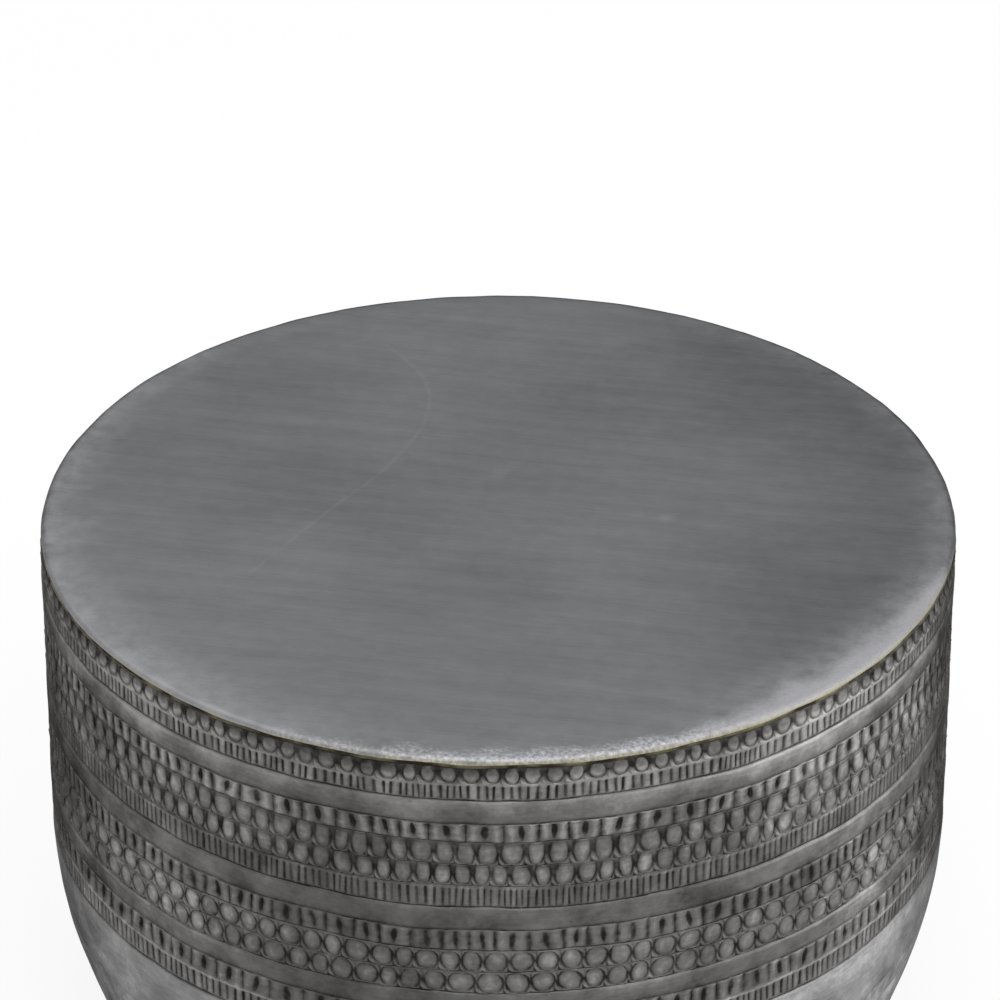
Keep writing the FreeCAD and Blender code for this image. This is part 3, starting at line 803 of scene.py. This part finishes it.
filed_tone = put(tree, "ShaderNodeMath",
                 {0: file_marks, 1: in_front, 2: 1.0}, operation="MULTIPLY_ADD").outputs[0]
rim_tint = put(tree, "ShaderNodeVectorMath",
               {0: rim_tint, "Scale": filed_tone}, operation="SCALE").outputs[0]
hazy = put(tree, "ShaderNodeMix",
           {0: faint, 6: face, 7: (0.45, 0.45, 0.47, 1)}, data_type="RGBA").outputs[2]
colour = put(tree, "ShaderNodeMix", {0: bright, 6: hazy, 7: rim_tint}, data_type="RGBA").outputs[2]
dull = put(tree, "ShaderNodeMapRange",
           {"Value": streaks, "To Min": 0.36, "To Max": 0.5}).outputs["Result"]
dull = put(tree, "ShaderNodeMapRange",
           {"Value": burnish, "To Min": dull, "To Max": 0.62}).outputs["Result"]
rim_relief = put(tree, "ShaderNodeMath", {0: filing, 1: bright}, operation="MULTIPLY").outputs[0]
relief = put(tree, "ShaderNodeMath",
             {0: rim_relief, 1: 1.2, 2: hairs}, operation="MULTIPLY_ADD").outputs[0]
bump = put(tree, "ShaderNodeBump",
           {"Height": relief, "Strength": 0.3, "Distance": 0.0005}).outputs["Normal"]
tree.links.new(dull, shader.inputs["Roughness"])
tree.links.new(bump, shader.inputs["Normal"])

# One long scratch, drawn as a curve across the brushing.
SCRATCH_BACK, SCRATCH_FRONT = 0.262, -0.0935
SCRATCH_LEFT, SCRATCH_RIGHT = -0.19, -0.05
SCRATCH_BENDS = ((0.0, 0.018), (0.263, 0.43), (0.5, 0.8), (0.71, 0.964), (0.83, 0.945), (0.91, 0.857),
                 (1.0, 0.71))
travel = put(tree, "ShaderNodeMapRange",
             {"Value": parts["Y"], "From Min": SCRATCH_FRONT, "From Max": SCRATCH_BACK})
course = put(tree, "ShaderNodeFloatCurve", {"Value": travel.outputs["Result"]})
bends = course.mapping.curves[0].points
bends[0].location, bends[1].location = SCRATCH_BENDS[0], SCRATCH_BENDS[-1]
for along, across in SCRATCH_BENDS[1:-1]:
    bends.new(along, across)
course.mapping.update()
line = put(tree, "ShaderNodeMapRange",
           {"Value": course.outputs["Value"], "To Min": SCRATCH_LEFT, "To Max": SCRATCH_RIGHT})
gap = put(tree, "ShaderNodeMath",
          {0: parts["X"], 1: line.outputs["Result"]}, operation="SUBTRACT").outputs[0]
to_end = put(tree, "ShaderNodeMath",
             {0: parts["Y"], 1: (SCRATCH_BACK + SCRATCH_FRONT) / 2}, operation="SUBTRACT").outputs[0]
to_end = put(tree, "ShaderNodeMath", {0: to_end}, operation="ABSOLUTE").outputs[0]
beyond = put(tree, "ShaderNodeMath",
             {0: to_end, 1: (SCRATCH_BACK - SCRATCH_FRONT) / 2}, operation="SUBTRACT").outputs[0]
beyond = put(tree, "ShaderNodeMath", {0: beyond, 1: 0.0}, operation="MAXIMUM").outputs[0]
gap = put(tree, "ShaderNodeMath", {0: gap}, operation="ABSOLUTE").outputs[0]
nearest = put(tree, "ShaderNodeMath", {0: gap, 1: beyond}, operation="ADD").outputs[0]
scratch = put(tree, "ShaderNodeMapRange",
              {"Value": nearest, "From Min": 0.0026, "From Max": 0.0004, "To Max": 0.13})
scratch = put(tree, "ShaderNodeMath",
              {0: scratch.outputs["Result"], 1: broken.outputs["Result"]}, operation="MULTIPLY")
colour = put(tree, "ShaderNodeMix",
             {0: scratch.outputs[0], 6: colour, 7: (0.4, 0.4, 0.41, 1)}, data_type="RGBA")
tree.links.new(colour.outputs[2], shader.inputs["Base Color"])
finish_piece(table_top, top_metal, "top_sheet")


# Braze bead: brass filler, run by torch into the corner between the lip and the wall. It is left as it
# flowed, follows the lip up and down, and is stained dark.

bead = turned_ring("braze_bead_run", [
    (RIM_RADIUS - TOP_GAUGE, LIP_HEIGHT + 0.0002),
    (RIM_RADIUS - 0.0001, LIP_HEIGHT + 0.0003),
    (RIM_RADIUS + 0.0004, LIP_HEIGHT - 0.0005),
    (RIM_RADIUS + 0.0005, LIP_HEIGHT - 0.0011),
    (RIM_RADIUS + 0.0002, LIP_HEIGHT - 0.0019),
    (RIM_RADIUS - 0.0006, LIP_HEIGHT - 0.0026),
])
for vertex in bead.data.vertices:
    spot = vertex.co
    flow = 0.0007 * noise.noise(spot * 45) + 0.0004 * noise.noise(spot * 130)
    vertex.co = spot + Vector((0, 0, lip_waver(spot)))
    if spot.z < LIP_HEIGHT:
        vertex.co += Vector((0, 0, flow)) + Vector((spot.x, spot.y, 0)).normalized() * flow * 0.6
brass, tree, shader = new_finish("stained_braze", Metallic=1.0)
place = put(tree, "ShaderNodeTexCoord").outputs["Object"]
stain = put(tree, "ShaderNodeTexNoise", {"Vector": place, "Scale": 60.0, "Detail": 5.0}).outputs["Fac"]
mask = put(tree, "ShaderNodeMapRange",
           {"Value": stain, "From Min": 0.4, "From Max": 0.6}).outputs["Result"]
colour = put(tree, "ShaderNodeMix",
             {0: mask, 6: (0.13, 0.12, 0.068, 1), 7: (0.03, 0.024, 0.016, 1)}, data_type="RGBA")
dull = put(tree, "ShaderNodeMapRange", {"Value": stain, "To Min": 0.3, "To Max": 0.7}).outputs["Result"]
bump = put(tree, "ShaderNodeBump",
           {"Height": stain, "Strength": 0.3, "Distance": 0.0005}).outputs["Normal"]
tree.links.new(colour.outputs[2], shader.inputs["Base Color"])
tree.links.new(dull, shader.inputs["Roughness"])
tree.links.new(bump, shader.inputs["Normal"])
finish_piece(bead, brass, "braze_bead")


# Rubber pads: squares cut from sheet rubber and glued under the base ring. They keep their solid
# shapes.

rubber, tree, shader = new_finish("cut_rubber", Metallic=0.0)
place = put(tree, "ShaderNodeTexCoord").outputs["Object"]
dust = put(tree, "ShaderNodeTexNoise", {"Vector": place, "Scale": 220.0, "Detail": 4.0}).outputs["Fac"]
tint = put(tree, "ShaderNodeMix",
           {0: dust, 6: (0.018, 0.018, 0.018, 1), 7: (0.06, 0.058, 0.055, 1)}, data_type="RGBA")
dull = put(tree, "ShaderNodeMapRange", {"Value": dust, "To Min": 0.7, "To Max": 0.95}).outputs["Result"]
bump = put(tree, "ShaderNodeBump",
           {"Height": dust, "Strength": 0.3, "Distance": 0.0003}).outputs["Normal"]
tree.links.new(tint.outputs[2], shader.inputs["Base Color"])
tree.links.new(dull, shader.inputs["Roughness"])
tree.links.new(bump, shader.inputs["Normal"])
for number in range(1, 7):
    paint_node(f"foot_pad_{number}", rubber)


# Studio, which isn't part of the object: a plain pale floor, a white surround, two weak soft boxes and
# the camera of the photograph, solved from the rim and the rows.

start_fresh()
bpy.ops.mesh.primitive_plane_add(size=30)
floor = bpy.context.object
floor.name = "studio_floor"
paper, tree, shader = new_finish("pale_floor", Roughness=0.9, Base_Color=(0.94, 0.94, 0.94, 1))
ray = put(tree, "ShaderNodeLightPath").outputs
seen = put(tree, "ShaderNodeMath",
           {0: ray["Is Camera Ray"], 1: ray["Is Glossy Ray"]}, operation="MAXIMUM").outputs[0]
seen = put(tree, "ShaderNodeMath",
           {0: seen, 1: ray["Is Transmission Ray"]}, operation="MAXIMUM").outputs[0]
share = put(tree, "ShaderNodeMath", {0: seen, 1: 0.85}, operation="MULTIPLY").outputs[0]
white = put(tree, "ShaderNodeEmission", {"Color": (1, 1, 1, 1), "Strength": 1.0}).outputs[0]
mixed = put(tree, "ShaderNodeMixShader", {0: share, 1: shader.outputs[0], 2: white}).outputs[0]
tree.links.new(mixed, tree.nodes["Material Output"].inputs["Surface"])
floor.data.materials.append(paper)

world = bpy.data.worlds.new("white_studio")
bpy.context.scene.world = world
world.use_nodes = True
tree = world.node_tree
tree.nodes.clear()
direction = put(tree, "ShaderNodeTexCoord").outputs["Generated"]
upwards = put(tree, "ShaderNodeSeparateXYZ", {0: direction}).outputs["Z"]
strength = put(tree, "ShaderNodeMapRange",
               {"Value": upwards, "To Min": 0.4, "To Max": 1.25}).outputs["Result"]
sky = put(tree, "ShaderNodeBackground", {"Color": (1, 1, 1, 1), "Strength": strength}).outputs[0]
put(tree, "ShaderNodeOutputWorld", {"Surface": sky})


def soft_lamp(name, spot, aim, size, power):
    """Large soft box at a spot, turned to its aim."""
    lamp = bpy.data.lights.new(name, "AREA")
    lamp.shape = "SQUARE"
    lamp.size = size
    lamp.energy = power
    stand = bpy.data.objects.new(name, lamp)
    stand.location = spot
    stand.rotation_euler = (Vector(aim) - Vector(spot)).to_track_quat("-Z", "Y").to_euler()
    bpy.context.collection.objects.link(stand)


soft_lamp("lamp_front", (0.3, -2.2, 3.0), (0, 0, 0.3), 1.2, 25)
soft_lamp("lamp_right", (2.1, -0.75, 0.75), (0, 0, 0.3), 1.4, 13)

lens = bpy.data.cameras.new("photo_camera")
lens.lens = 200.68
lens.sensor_width = 36
lens.shift_x = 0.0018
lens.clip_end = 50
camera = bpy.data.objects.new("photo_camera", lens)
camera.location = (0, -3.6693, 2.6193)
camera.rotation_euler = (math.radians(59.5173), 0, 0)
bpy.context.collection.objects.link(camera)
bpy.context.scene.camera = camera
bpy.context.scene.view_settings.view_transform = "Standard"
